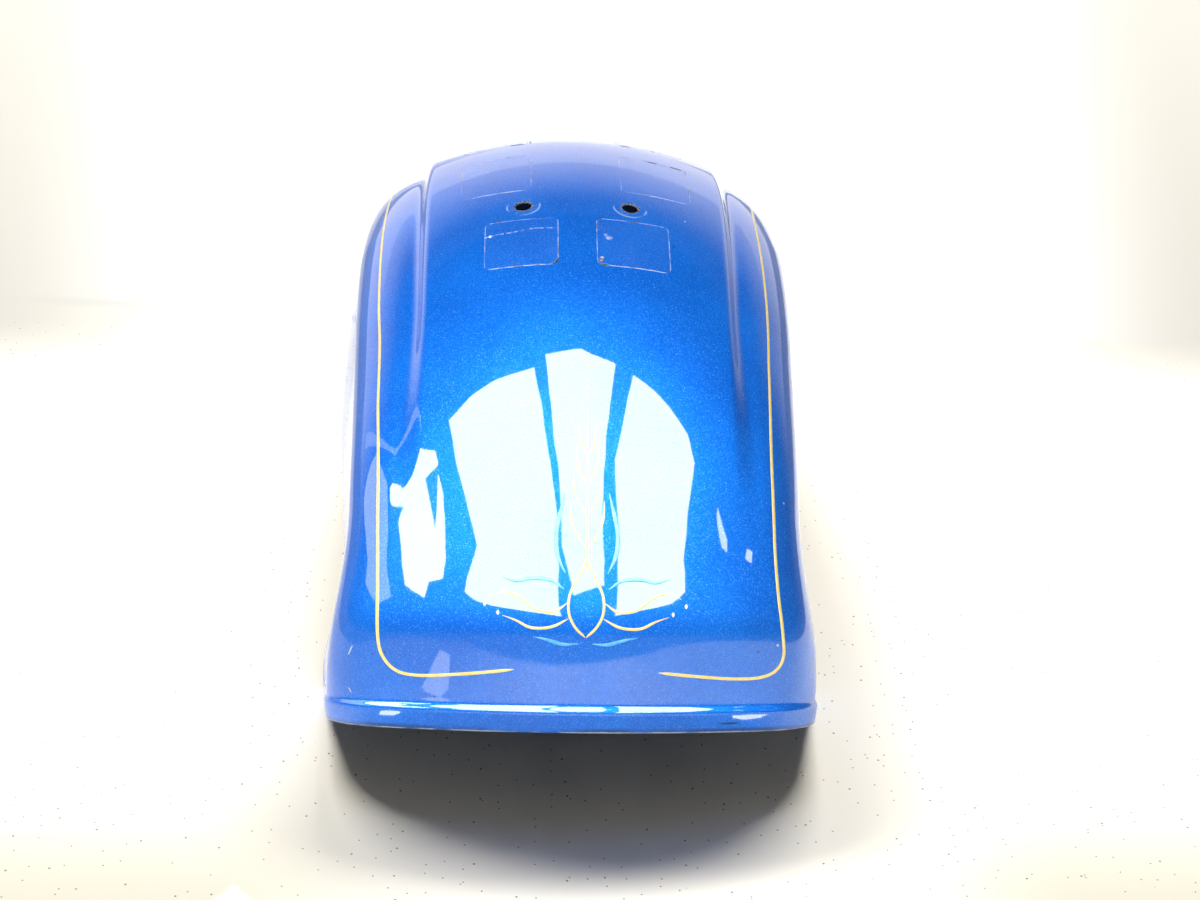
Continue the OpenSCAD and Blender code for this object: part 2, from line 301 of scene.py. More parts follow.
def halfColumns():
    # columns from the centre line to the hem, as (part of the half section, corner angle)
    starts, gaps = raised.starts, meshing["columnGaps"]
    holeX, reach = boltHoles["spacing"] / 2, boltHoles["halfBlock"]
    scale = float(widthScale(holeAt))
    lower, upper = (holeX - reach) / scale, (holeX + reach) / scale
    cellWidth = 2 * reach / meshing["holeCells"] / scale
    out = spread(0, lower, gaps[0]) + spread(lower, upper, cellWidth) + spread(upper, starts[1], gaps[0])
    for k in range(1, 5):
        out += spread(starts[k], starts[k + 1], gaps[k])
    out += spread(starts[5], raised.length - p["cornerRadius"], gaps[5])
    columns = [(c / raised.length, 0.0) for c in out]
    for k in range(meshing["cornerSteps"] + 1):
        a = 90 * k / meshing["cornerSteps"]
        columns.append((1 - p["cornerRadius"] * (1 - math.sin(math.radians(a))) / raised.length, a))
    return columns, len(spread(0, lower, gaps[0]))


def rowPlaces():
    reach = boltHoles["halfBlock"]
    out = spread(0, meshing["tailRowsEnd"], meshing["tailRowGap"])
    out += spread(meshing["tailRowsEnd"], holeAt - reach, meshing["rowGap"])
    first = len(out)
    out += spread(holeAt - reach, holeAt + reach, 2 * reach / meshing["holeCells"])
    out += spread(holeAt + reach, crown.length, meshing["rowGap"])
    return np.array(out + [crown.length]), first


def lipChain(strength):
    def run(flat, full):
        return flat + (full - flat) * strength

    return Chain(
        [
            (arcLength(lip["creaseRadius"], lip["kick"]), lip["kick"] * strength),
            (run(lip["flatShelf"], lip["shelf"]), 0),
            (run(lip["flatEdge"], arcLength(lip["edgeRadius"], lip["roll"])), -lip["roll"] * strength),
            (run(lip["skirtEdgeRun"], lip["band"]), -lip["bandTurn"] * strength),
        ]
    )


def lipStrength(around):
    fadeLength = plain.length + lip["fadePastCorner"] - lip["fadeFrom"]
    return float(ease(1 - (around - lip["fadeFrom"]) / fadeLength))


def lipOutline(strength):
    # the lip's section as [distance out, height, distance from the crease]: outside, round the hem, inside
    chain = lipChain(strength)
    total, sheet, thick = chain.length, p["sheet"], lip["hemThickness"]
    hemStart, roundReach = total - lip["hemRun"], lip["hemRoundness"] * thick
    stops = chain.starts[:4] + [hemStart, total - roundReach]
    s = []
    for start, end, steps in zip(stops, stops[1:], lip["steps"]):
        s += list(np.linspace(start, end, steps + 1)[1:])
    out, up, heading = chain.at(s)
    turn = np.radians(heading)
    outer = np.stack([out, up, s], -1)
    depth = sheet + (thick - sheet) * ease((np.array(s) - hemStart + lip["hemStep"]) / lip["hemStep"])
    inner = np.stack([out + depth * np.sin(turn), up - depth * np.cos(turn), -np.array(s)], -1)[::-1]
    # rounded end of the fold
    last, way = outer[-1], turn[-1]
    fold = []
    for k in range(1, lip["steps"][5]):
        a = math.pi * k / lip["steps"][5]
        x, y = roundReach * math.sin(a), -thick / 2 * (1 - math.cos(a))
        spot = [
            last[0] + x * math.cos(way) - y * math.sin(way),
            last[1] + x * math.sin(way) + y * math.cos(way),
        ]
        fold.append(spot + [total + x])
    return np.concatenate([outer, np.array(fold), inner])


class PressedShell:
    # both faces of the sheet on one grid, the rings round the bolt holes, the lip and the front edge
    def __init__(self):
        self.points, self.faces, self.used = [], [], 0
        self.measures = {"along": [], "across": [], "beyond": [], "inside": []}
        half, self.holeColumn = halfColumns()
        rows, self.holeRow = rowPlaces()
        columns = [(-f, a) for f, a in half[:0:-1]] + half
        self.middle, self.lastColumn, self.lastRow = len(half) - 1, len(columns) - 1, len(rows) - 1
        self.f, self.angle = (np.array(values) for values in zip(*columns))
        self.s = gridAlong(rows[:, None], self.angle[None, :])
        self.across = self.f[None, :] * acrossScale(self.s)
        self.place, self.alongWay, self.acrossWay, self.normal = skin.frame(self.s, self.f[None, :])
        # the sheet's front edge is cut level
        self.normal[self.lastRow] = unit(self.normal[self.lastRow] * [1, 1, 0])

    def add(self, points, **measures):
        # each measure is one number for all the points, or one for each
        count = len(points)
        self.points.append(points)
        for key, value in measures.items():
            self.measures[key].append(np.zeros(count) + value)
        self.used += count
        return list(range(self.used - count, self.used))

    def cell(self, i, j, under=0):
        return (under * (self.lastRow + 1) + i) * (self.lastColumn + 1) + j

    def holeBlocks(self):
        # first column and side of the open block round each bolt hole
        return [(self.middle + self.holeColumn, 1),
(self.middle - self.holeColumn - meshing["holeCells"], -1)]

    def bothFaces(self):
        for depth, inside in ((0, 0.0), (p["sheet"], 1.0)):
            sheetFace = (self.place - depth * self.normal).reshape(-1, 3)
            self.add(sheetFace, along=self.s.ravel(), across=self.across.ravel(), beyond=0.0, inside=inside)
        cells = range(meshing["holeCells"])
        opened = {(self.holeRow + i, first + j) for first, _ in self.holeBlocks() for i in cells for j in cells}
        for i in range(self.lastRow):
            for j in range(self.lastColumn):
                if (i, j) in opened:
                    continue
                ring = [(i, j), (i + 1, j), (i + 1, j + 1), (i, j + 1)]
                self.faces.append([self.cell(a, b) for a, b in ring])
                self.faces.append([self.cell(a, b, 1) for a, b in reversed(ring)])

    def holeRings(self):
        # from the open block in to the hole, over its worn edge and out again on the inner face
        radius, sheet, size = boltHoles["diameter"] / 2, p["sheet"], meshing["holeCells"]
        flat = radius + 0.55
        profile = [(share, flat, 0.0) for share in (0.28, 0.52, 0.72, 0.86, 1)]
        profile += [(1, radius + 0.15, -0.1), (1, radius, -0.35)]
        profile += [(1, radius, 0.3 - sheet), (1, radius + 0.25, -sheet)]
        profile += [(share, flat, -sheet) for share in (0.6, 0.3)]
        square = [(0, k) for k in range(size)] + [(k, size) for k in range(size)]
        square += [(size, size - k) for k in range(size)] + [(size - k, 0) for k in range(size)]
        for first, side in self.holeBlocks():
            border = [(self.holeRow + i, first + j) for i, j in square]
            edge = np.array([[self.s[i, j], self.across[i, j]] for i, j in border])
            centre = np.array([holeAt, side * np.abs(edge[:, 1]).mean()])
            way = unit(edge - centre)
            rings = [[self.cell(i, j) for i, j in border]]
            for share, reach, lift in profile:
                spot = edge + (centre + way * reach - edge) * share
                s, across = spot.T
                under = float(lift <= 0.3 - sheet)
                lifted = onSkin(s, across, np.full(len(s), lift))
                rings.append(self.add(lifted, along=s, across=across, beyond=0.0, inside=under))
            rings.append([self.cell(i, j, 1) for i, j in border])
            for a, b in zip(rings, rings[1:]):
                for k in range(len(a)):
                    n = (k + 1) % len(a)
                    self.faces.append([b[k], b[n], a[n], a[k]])

    def lipAndHem(self):
        # from the front up one skirt, across the tail and back down the other; returns its two end faces
        cells = [(i, 0, 90, -1) for i in range(self.lastRow, 0, -1)]
        cells += [(0, j, self.angle[j], -1 if j < self.middle else 1) for j in range(self.lastColumn + 1)]
        cells += [(i, self.lastColumn, 90, 1) for i in range(1, self.lastRow + 1)]
        loops = []
        for i, j, turn, side in cells:
            a = math.radians(turn)
            out = unit(-math.cos(a) * self.alongWay[i, j] + side * math.sin(a) * self.acrossWay[i, j])
            shape = lipOutline(lipStrength(abs(self.f[j]) * plain.length + self.s[i, j]))
            spots = self.place[i, j] + shape[:, :1] * out + shape[:, 1:2] * self.normal[i, j]
            reach = shape[:, 2]
            loop = self.add(
                spots, along=self.s[i, j], across=self.across[i, j], beyond=np.abs(reach), inside=reach < 0
            )
            loops.append([self.cell(i, j)] + loop + [self.cell(i, j, 1)])
        for a, b in zip(loops, loops[1:]):
            for k in range(len(a) - 1):
                self.faces.append([a[k], b[k], b[k + 1], a[k + 1]])
        return [loops[0], loops[-1][::-1]]

    def frontEdge(self, lipEnds):
        i = self.lastRow
        for j in range(self.lastColumn):
            corners = [(j, 0), (j, 1), (j + 1, 1), (j + 1, 0)]
            self.faces.append([self.cell(i, k, under) for k, under in corners])
        self.faces += lipEnds

    def build(self, name):
        self.bothFaces()
        self.holeRings()
        self.frontEdge(self.lipAndHem())
        joined = {key: np.concatenate(values) for key, values in self.measures.items()}
        return newMesh(name, np.concatenate(self.points), self.faces, joined)


shell = PressedShell().build("pressed_shell")
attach(shell, "root")
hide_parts("fender_shell")
print("pressed shell", len(shell.data.polygons), "faces")


def curveThrough(points, gap):
    # smooth curve through given points, sampled at an even gap
    points = np.array(points, float)
    padded = np.vstack([2 * points[0] - points[1], points, 2 * points[-1] - points[-2]])
    out = []
    for k in range(len(points) - 1):
        a, b, c, d = padded[k : k + 4]
        steps = max(2, int(np.linalg.norm(c - b) / gap))
        for t in np.linspace(0, 1, steps, endpoint=False):
            out.append(
                0.5
                * (2 * b + (c - a) * t + (2 * a - 5 * b + 4 * c - d) * t**2 + (3 * b - a - 3 * c + d) * t**3)
            )
    return np.array(out + [points[-1]])


# A stroke's section as (part of the half width, part of the lift); its foot and its edges lie in the paint
strokeSection = {
    "top": ((-1, 0.0), (-0.86, 1.0), (0, 1.15), (0.86, 1.0), (1, 0.0)),
    "edgeDepth": 0.04,
    "footDepth": 0.12,
}


class Strokes:
    # thin painted lines that lie on the skin, each closed all round
    def __init__(self, name):
        self.name, self.points, self.faces, self.used = name, [], [], 0

    def stroke(self, points, width, taperStart=0.0, taperEnd=0.0, lift=0.05, gap=1.6):
        # points are (across, along); the tapers are the lengths over which the ends thin out
        line = curveThrough(points, gap)
        run = np.r_[0, np.cumsum(np.linalg.norm(np.diff(line, axis=0), axis=1))]
        total = run[-1]
        half = np.full(len(line), width / 2.0)
        if taperStart:
            half *= 0.18 + 0.82 * np.sin(np.clip(run / taperStart, 0, 1) * np.pi / 2)
        if taperEnd:
            half *= 0.12 + 0.88 * np.sin(np.clip((total - run) / taperEnd, 0, 1) * np.pi / 2)
        way = unit(np.gradient(line, axis=0))
        normal = np.stack([-way[:, 1], way[:, 0]], -1)
        rows = []
        for side, height in strokeSection["top"]:
            spot = line + normal * (half * side)[:, None]
            rise = lift * height if height else -strokeSection["edgeDepth"]
            rows.append(onSkin(spot[:, 1], spot[:, 0], np.full(len(line), rise)))
        rows.append(onSkin(line[:, 1], line[:, 0], np.full(len(line), -strokeSection["footDepth"])))
        ring, n = len(rows), len(line)
        self.points.append(np.stack(rows, 1).reshape(-1, 3))
        base = self.used
        for k in range(n - 1):
            for m in range(ring):
                q = (m + 1) % ring
                a, b = base + k * ring, base + (k + 1) * ring
                self.faces.append([a + m, a + q, b + q, b + m])
        self.faces.append([base + m for m in range(ring)][::-1])
        self.faces.append([base + (n - 1) * ring + m for m in range(ring)])
        self.used += n * ring

    def mirrored(self, points, axis, **shape):
        for side in (-1, 1):
            self.stroke([(axis + side * u, s) for u, s in points], **shape)

    def build(self):
        return newMesh(self.name, np.concatenate(self.points), self.faces, sharpAngle=50)


# The hand-pulled line round the body, as (across, along) in millimetres, with its gap at the middle of the tail
frameLine = {
    "width": 1.9,
    "left": [
        (-118, 738), (-118.5, 640), (-119, 540), (-120, 450), (-122.6, 345.4), (-121.1, 264.2), (-117.5, 222),
        (-113.1, 180.8), (-108.1, 146.8), (-104.9, 114.8), (-102.8, 69.5), (-102, 37.9), (-99.1, 25.4),
        (-91.4, 17), (-79, 14.6), (-60.8, 15.6), (-44.9, 17.2), (-30.4, 19),
    ],
    "right": [
        (41.9, 17.9), (60.4, 16.1), (80.7, 14.7), (96.5, 15.4), (105.6, 19.6), (109.8, 28.2), (108.9, 41.6),
        (105.9, 66.3), (104.4, 98.7), (106.2, 144.8), (112.8, 199.9), (116.8, 241.1), (117.3, 294.2),
        (116.7, 352.4), (118, 440), (118.5, 540), (118.5, 640), (118, 738),
    ],
}
yellowLine = Strokes("frame_line")
yellowLine.stroke(frameLine["left"], frameLine["width"], taperEnd=7)
yellowLine.stroke(frameLine["right"], frameLine["width"], taperStart=7)
stripes = yellowLine.build()

# A plain symmetric flourish of reed, leaves and waves on the crown: (distance from its axis, along)
flourish = {
    "axis": 4.7,
    "reed": [(0, 70), (0, 98), (0, 130), (0, 160)],
    "bud": [(0.2, 37), (5.4, 42.5), (8.6, 50), (8.2, 59), (4.6, 67), (1.2, 74), (0.4, 80)],
    "leaves": [
        [(0.9, 84), (4.6, 89), (7.8, 97), (8.6, 108)],
        [(0.8, 101), (3.9, 106), (6.4, 113), (7.0, 123)],
        [(0.7, 117), (3.2, 121.5), (5.1, 128), (5.6, 137)],
        [(0.6, 132), (2.5, 136), (3.9, 141.5), (4.3, 149)],
    ],
    "waves": [
        [(9.2, 55), (16, 50.5), (25, 51.5), (33, 57.5), (41, 61), (48, 58)],
        [(8.6, 47), (17, 42.5), (27, 42), (35, 46), (41.5, 48.5)],
    ],
    "blueWaves": [
        [(11, 62), (18, 66.5), (27, 67.5), (35, 66), (42.5, 68.5)],
        [(10.5, 70), (14.5, 79), (15.4, 91), (12.8, 104), (10.9, 112)],
        [(3.5, 33.5), (11, 33.2), (19, 35.6), (26, 37.2)],
    ],
    "beads": [(0, 166), (0, 170.6), (0, 174.4), (50.5, 54.5), (43.8, 50)],
}
axis = flourish["axis"]
yellowArt = Strokes("flourish_yellow")
yellowArt.stroke([(axis + u, s) for u, s in flourish["reed"]], 1.5, taperStart=4, taperEnd=70)
yellowArt.mirrored(flourish["bud"], axis, width=1.35, taperStart=3, taperEnd=9, lift=0.06)
for leaf in flourish["leaves"]:
    yellowArt.mirrored(leaf, axis, width=1.3, taperStart=5, taperEnd=12, lift=0.07)
for wave in flourish["waves"]:
    yellowArt.mirrored(wave, axis, width=1.5, taperStart=9, taperEnd=16, lift=0.06)
flourishYellow = yellowArt.build()
blueArt = Strokes("flourish_blue")
for wave in flourish["blueWaves"]:
    blueArt.mirrored(wave, axis, width=2.3, taperStart=13, taperEnd=16, lift=0.045)
flourishBlue = blueArt.build()
beadArt = Strokes("flourish_beads")
for u, s in flourish["beads"]:
    for side in (-1, 1) if u else (1,):
        bead = [(axis + side * u, s + step) for step in (-1.3, 0, 1.3)]
        beadArt.stroke(bead, 1.7, taperStart=1.3, taperEnd=1.3, lift=0.08, gap=0.4)
flourishBeads = beadArt.build()
for piece in (stripes, flourishYellow, flourishBlue, flourishBeads):
    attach(piece, "root")
print("painted lines done")

# Clear film patches on the raised panel, placed as in the part's source
film = {
    "width": 41,
    "rearLength": 41,
    "upperLength": 56,
    "corner": 4,
    "air": 0.1,
    "thickness": 0.22,
    "rearInset": 10.5,
    "upperInset": 25.5,
    "rearStart": -14 - 41,
    "middleStart": 18,
    "frontStart": 18 + 56 + 34,
    "gap": 1.6,
    "cornerSteps": 6,
}


def filmPatch(name, start, length, inset, side):
    r, width = film["corner"], film["width"]
    turns = np.linspace(0, math.pi / 2, film["cornerSteps"] + 1)
    arcs = [(r * (1 - math.cos(a)), r * (1 - math.sin(a))) for a in turns]
    lines = arcs + [(v, 0.0) for v in spread(r, length - r, film["gap"])[1:]]
    lines += [(length - a, b) for a, b in arcs[::-1]]
    count = round(width / film["gap"])
    points, border, where, faces = [[], []], [], [], []
    for at, indent in lines:
        part = np.linspace(0, 1, count + 1) if side > 0 else np.linspace(1, 0, count + 1)
        x = side * (inset + indent + (width - 2 * indent) * part)
        s = np.full(count + 1, holeAt + start + at)
        sideways = np.minimum(part, 1 - part) * (width - 2 * indent) + indent * 0.4
        near = np.minimum(sideways, min(at, length - at))
        border.append(near)
        top = film["air"] + film["thickness"] * np.clip(0.35 + near / 0.5, 0.35, 1)
        where.append(np.stack([x, s]))
        points[0].append(onSkin(s, x, top))
        points[1].append(onSkin(s, x, np.full(count + 1, 0.02)))
    wide, last = count + 1, len(lines) - 1
    total = wide * len(lines)
    for i in range(last):
        for j in range(count):
            a = i * wide + j
            ring = [a, a + wide, a + wide + 1, a + 1]
            faces += [ring, [v + total for v in ring[::-1]]]
    around = list(range(count)) + [i * wide + count for i in range(last)]
    around += [last * wide + j for j in range(count, 0, -1)] + [i * wide for i in range(last, 0, -1)]
    for a, b in zip(around, around[1:] + around[:1]):
        faces.append([a, b, b + total, a + total])
    across, along = np.concatenate(where * 2, axis=1)
    measures = {"edge": np.concatenate(border * 2), "across": across, "along": along}
    patch = newMesh(name, np.concatenate(points[0] + points[1]), faces, measures)
    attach(patch, "root")
    return patch


patches = []
for sideName, side in (("left", -1), ("right", 1)):
    for row, start, length, inset in (
        ("rear", film["rearStart"], film["rearLength"], film["rearInset"]),
        ("middle", film["middleStart"], film["upperLength"], film["upperInset"]),
        ("front", film["frontStart"], film["upperLength"], film["upperInset"]),
    ):
        patch = filmPatch(f"clear_patch_{row}_{sideName}", start, length, inset, side)
        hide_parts(f"film_{row}_{sideName}")
        patches.append(patch)
print("film patches done")


class Wire:
    # a node's output that can be used in sums
    def __init__(self, finish, socket):
        self.finish, self.socket = finish, socket

    def sum(self, operation, a, b):
        return self.finish.node("ShaderNodeMath", {"operation": operation}, {0: a, 1: b})

    def __add__(self, other):
        return self.sum("ADD", self, other)

    def __sub__(self, other):
        return self.sum("SUBTRACT", self, other)

    def __rsub__(self, other):
        return self.sum("SUBTRACT", other, self)

    def __mul__(self, other):
        return self.sum("MULTIPLY", self, other)

    __radd__ = __add__
    __rmul__ = __mul__


class Finish:
    # a material under construction
    def __init__(self, name):
        self.material = bpy.data.materials.new(name)
        self.material.use_nodes = True
        self.tree = self.material.node_tree
        self.tree.nodes.clear()

    def node(self, kind, settings=None, inputs=None, output=0):
        node = self.tree.nodes.new(kind)
        for key, value in (settings or {}).items():
            setattr(node, key, value)
        for key, value in (inputs or {}).items():
            if isinstance(value, Wire):
                self.tree.links.new(value.socket, node.inputs[key])
            else:
                node.inputs[key].default_value = value
        return Wire(self, node.outputs[output])

    def between(self, value, low, high, start=0.0, end=1.0):
        # eased step of a value from one level to another
        return self.node(
            "ShaderNodeMapRange",
            {"interpolation_type": "SMOOTHSTEP"},
            {"Value": value, "From Min": low, "From Max": high, "To Min": start, "To Max": end},
        )

    def larger(self, a, b):
        return self.node("ShaderNodeMath", {"operation": "MAXIMUM"}, {0: a, 1: b})

    def smaller(self, a, b):
        return self.node("ShaderNodeMath", {"operation": "MINIMUM"}, {0: a, 1: b})

    def size(self, a):
        return self.node("ShaderNodeMath", {"operation": "ABSOLUTE"}, {0: a})

    def root(self, a):
        return self.node("ShaderNodeMath", {"operation": "SQRT"}, {0: a})

    def mixed(self, part, a, b):
        return self.node("ShaderNodeMix", {"data_type": "RGBA"}, {0: part, 6: a, 7: b}, output=2)

    def layered(self, colour, layers):
        # each layer is (how much it covers, its colour), from the lowest up
        for part, tone in layers:
            colour = self.mixed(part, colour, tone)
        return colour

    def surface(self, sockets):
        return self.node("ShaderNodeBsdfPrincipled", {}, sockets)

    def measured(self, name):
        return self.node("ShaderNodeAttribute", {"attribute_name": name}, output=2)

    def place(self):
        return self.node("ShaderNodeTexCoord", output=3)

    def axis(self, vector, k):
        return self.node("ShaderNodeSeparateXYZ", {}, {0: vector}, output=k)

    def ray(self, kind):
        return self.node("ShaderNodeLightPath", output=f"Is {kind} Ray")

    def noise(self, vector, scale, detail=2.0, roughness=0.5):
        sockets = {"Vector": vector, "Scale": scale, "Detail": detail, "Roughness": roughness}
        return self.node("ShaderNodeTexNoise", {}, sockets)

    def stretched(self, vector, scale, turn=(0.0, 0.0, 0.0)):
        return self.node("ShaderNodeMapping", {}, {"Vector": vector, "Rotation": turn, "Scale": scale})

    def away(self, along, across, spot):
        # distance on the surface from a spot given as (across, along)
        a, b = across - spot[0], along - spot[1]
        return self.root(a * a + b * b)

    def close(self, shader):
        out = self.tree.nodes.new("ShaderNodeOutputMaterial")
        self.tree.links.new(shader.socket, out.inputs["Surface"])
        return self.material


# Metallic blue under clear coat; lengths in millimetres on the surface
paint = {
    "blue": (0.005, 0.205, 0.90, 1),
    "deepBlue": (0.003, 0.125, 0.66, 1),
    "paleFlake": (0.22, 0.50, 1.0, 1),
    "underside": (0.012, 0.045, 0.14, 1),
    "rust": (0.075, 0.028, 0.012, 1),
    "bareMetal": (0.30, 0.31, 0.32, 1),
    "primer": (0.62, 0.68, 0.74, 1),
    "dirt": (0.030, 0.024, 0.022, 1),
    "lipShadeBlue": (0.004, 0.03, 0.15, 1),
    "washerMark": (0.34, 0.50, 0.78, 1),
    "metal": 0.30,
    "edgeTint": (0.24, 0.43, 0.90, 1),
    "coatIor": 1.9,
    "enamelIor": 1.5,
    "coatRoughness": 0.03,
    "roughness": 0.42,
    "specularLevel": 0.17,
    "flakeScale": 1400,
    "cloudScale": 22,
    # specks of dirt and chips to the primer, as (across, along, radius)
    "specks": [
        (54, 277, 0.7), (-71.3, 2.3, 0.55), (-105.2, 27, 0.5), (-98.1, 28, 0.6), (94.8, 30.6, 0.5),
        (64, 26, 0.35), (-22, 62, 0.5),
    ],
    "chips": [(105.9, 34.9, 0.6), (16.8, 276, 0.7), (62, 305, 0.5), (112.5, 118, 0.6)],
    # slanted scratches to the primer on the left corner, as (across, along, half length, half width, slope)
    "nicks": [(-118.7, 28.9, 4.2, 0.55, 0.5), (-118.7, 4.3, 3.0, 0.5, -0.7)],
    # the washers' rings, the fold's pale line beyond the crease (rubbed paint and a painted reflection), and
    # the scrape on the right of the lip
    "washerRadius": 8.8,
    "hemLine": 15.7,
    "scrapeAcross": 80,
    "scrapeBeyond": 10.8,
    # hairline scratches, as the turn and the stretch of their noise
    "scratches": [(0.5, (26, 900, 26)), (2.2, (30, 1100, 30)), (1.2, (18, 700, 18))],
}


def spots(make, along, across, places, fine):
    # ragged round marks at the given places
    marks = None
    for u, s, radius in places:
        one = make.between(make.away(along, across, (u, s)) + fine * radius * 1.2, radius * 1.9, radius * 1.3)
        marks = one if marks is None else make.larger(marks, one)
    return marks


def washerMarks(make, place, along, across, cloud, fine):
    # the holes' rusty rims, the pale broken arcs that the washers left, and the rubbed paint inside them
    hole = None
    for side in (-1, 1):
        one = make.away(along, across, (side * boltHoles["spacing"] / 2, holeAt))
        hole = one if hole is None else make.smaller(hole, one)
    rim = make.between(hole + fine * 1.1, 6.5, 5.3)
    arc = make.between(make.size(hole - paint["washerRadius"] - cloud * 0.8), 0.75, 0.25)
    arc = arc * make.between(along - holeAt, 5, 0)
    arc = arc * make.between(make.noise(place, 95, detail=2), 0.34, 0.52)
    rub = make.between(hole, 10.5, 6.0) * make.between(fine, 0.45, 0.75) * 0.35
    return rim, arc, rub


def slantedNicks(make, along, across, fine):
    nicks = None
    for u, s, length, width, slope in paint["nicks"]:
        a = along - s
        b = across - u - a * slope
        nick = make.between(make.size(a) + fine * 2, length, length * 0.6)
        nick = nick * make.between(make.size(b) + fine * 0.5, width * 1.6, width * 0.8)
        nicks = nick if nicks is None else make.larger(nicks, nick)
    return nicks


def hemMarks(make, place, across, beyond, inside, cloud, fine):
    # painted shade, patchy, above the fold; the paint rubbed pale along it, partly a painted reflection of the
    # floor; and a streaky scrape on the right
    fold = paint["hemLine"]
    # painted shade: a patchy darker band just above the fold, where the lip rolls under
    lipShade = make.between(beyond, fold - 3.2, fold - 0.8) * (1 - inside) * make.between(cloud, 0.3, 0.6) * 0.7
    # a pale line along the fold: rubbed paint and a painted reflection of the floor
    wornAndReflection = make.between(beyond + fine * 0.8, fold, fold + 0.6) * (1 - inside)
    wornAndReflection = wornAndReflection * make.between(make.noise(place, 60, detail=4), 0.36, 0.56)
    streak = make.noise(make.stretched(place, (90, 90, 900)), 1.0, detail=3)
    scrape = make.between(make.size(across - paint["scrapeAcross"]) + streak * 9, 13, 6)
    scrape = scrape * make.between(make.size(beyond - paint["scrapeBeyond"]) + streak * 1.4, 1.5, 0.9)
    return lipShade, wornAndReflection, scrape


def hairScratches(make, place):
    lines = None
    for turn, scale in paint["scratches"]:
        hair = make.noise(make.stretched(place, scale, (0.3, turn, turn)), 1.0, detail=1)
        one = make.between(make.size(hair - 0.5), 0.012, 0.002)
        lines = one if lines is None else make.larger(lines, one)
    return lines * make.between(make.noise(place, 14, detail=1), 0.48, 0.66)


def bluePaint():
    make = Finish("blue_paint")
    place = make.place()
    along, across = make.measured("along"), make.measured("across")
    beyond, inside = make.measured("beyond"), make.measured("inside")
    flake = make.noise(place, paint["flakeScale"], detail=1.5, roughness=0.7)
    cloud = make.noise(place, paint["cloudScale"], detail=3)
    fine = make.noise(place, 420, detail=3)
    broken = make.between(make.noise(place, 900, detail=2), 0.4, 0.6)

    # some flakes are turned to the light and show most near bright reflections
    sparkle = make.between(flake, 0.60, 0.68)
    rim, arc, rub = washerMarks(make, place, along, across, cloud, fine)
    specks = spots(make, along, across, paint["specks"], fine)
    chips = spots(make, along, across, paint["chips"], fine)
    chips = make.larger(chips, slantedNicks(make, along, across, fine))
    lipShade, wornAndReflection, scrape = hemMarks(make, place, across, beyond, inside, cloud, fine)
    tone = make.between(flake + cloud * 0.35, 0.50, 0.84)
    colour = make.layered(
        paint["deepBlue"],
        [
            (tone, paint["blue"]),
            (sparkle * 0.35, paint["paleFlake"]),
            (make.larger(arc * 0.8, rub), paint["washerMark"]),
            (rim, make.mixed(broken, paint["rust"], paint["bareMetal"])),
            (specks, paint["dirt"]),
            (chips, paint["primer"]),
            # painted shade above the fold
            (lipShade, paint["lipShadeBlue"]),
            # pale line of rubbed paint and painted reflection along the fold
            (wornAndReflection * 0.8, paint["primer"]),
            (scrape * 0.85, paint["dirt"]),
            (inside, paint["underside"]),
        ],
    )

    # bare and dirty places don't shine like the flakes, and the clear coat is duller on scratches and inside
    bare = make.larger(make.larger(rim, scrape), make.larger(make.larger(chips, specks), wornAndReflection * 0.75))
    metal = (sparkle * 0.45 + paint["metal"]) * (1 - make.larger(bare, arc * 0.8)) + rim * 0.3
    gloss = (1 - hairScratches(make, place) * 0.35) * (1 - make.larger(rim, scrape) * 0.9)
    gloss = gloss * (1 - inside * 0.6) * (1 - make.larger(arc, rub) * 0.3)
    height = make.noise(place, 260, detail=1) + rim * fine * 3 - chips * 2 + specks
    bump = make.node("ShaderNodeBump", {}, {"Strength": 0.05, "Distance": 0.00012, "Height": height})
    sockets = {
        "Base Color": colour,
        "Metallic": metal,
        "Normal": bump,
        "Roughness": paint["roughness"],
        "Specular IOR Level": paint["specularLevel"],
        "Specular Tint": paint["edgeTint"],
        "Coat Weight": gloss,
        "Coat Roughness": paint["coatRoughness"],
        "Coat IOR": paint["coatIor"],
    }
    return make.close(make.surface(sockets))


def lineEnamel(name, light, dark):
    # sign painter's enamel with slightly uneven cover, under the same clear coat
    make = Finish(name)
    place = make.place()
    cover = make.between(make.noise(place, 300, detail=3), 0.35, 0.65)
    colour = make.mixed(cover, dark, light)
    rough = 0.4 + make.noise(place, 700, detail=1) * 0.2
    sockets = {
        "Base Color": colour,
        "Roughness": rough,
        "Coat Weight": 1.0,
        "Coat Roughness": paint["coatRoughness"],
        "Coat IOR": paint["enamelIor"],
    }
    return make.close(make.surface(sockets))


filmLook = {
    "clear": (0.55, 0.72, 0.95, 1),
    "edge": (0.80, 0.88, 0.97, 1),
    "grime": (0.10, 0.10, 0.05, 1),
    "olive": (0.09, 0.12, 0.02, 1),
    "amber": (0.75, 0.50, 0.10, 1),
    "wax": (0.88, 0.93, 0.98, 1),
    "body": 0.008,
    "ior": 1.5,
    # marks on the film, as (across, along, radius)
    "olivePlaces": [(-11.5, 254.5, 3.4), (14.5, 255.5, 4.0)],
    "amberPlaces": [(13.4, 258.8, 0.9), (12.8, 256.4, 0.5), (68.4, 334.9, 0.9)],
    "waxPlaces": [(-48.4, 281.0, 0.9), (66.8, 336.5, 0.5)],
    "smudges": [(17.2, 276.1, 1.9), (15.6, 278.4, 1.2)],
    # a wandering hairline across the rear left patch: mean place along, and its swing
    "hairline": (282.5, 2.4),
}


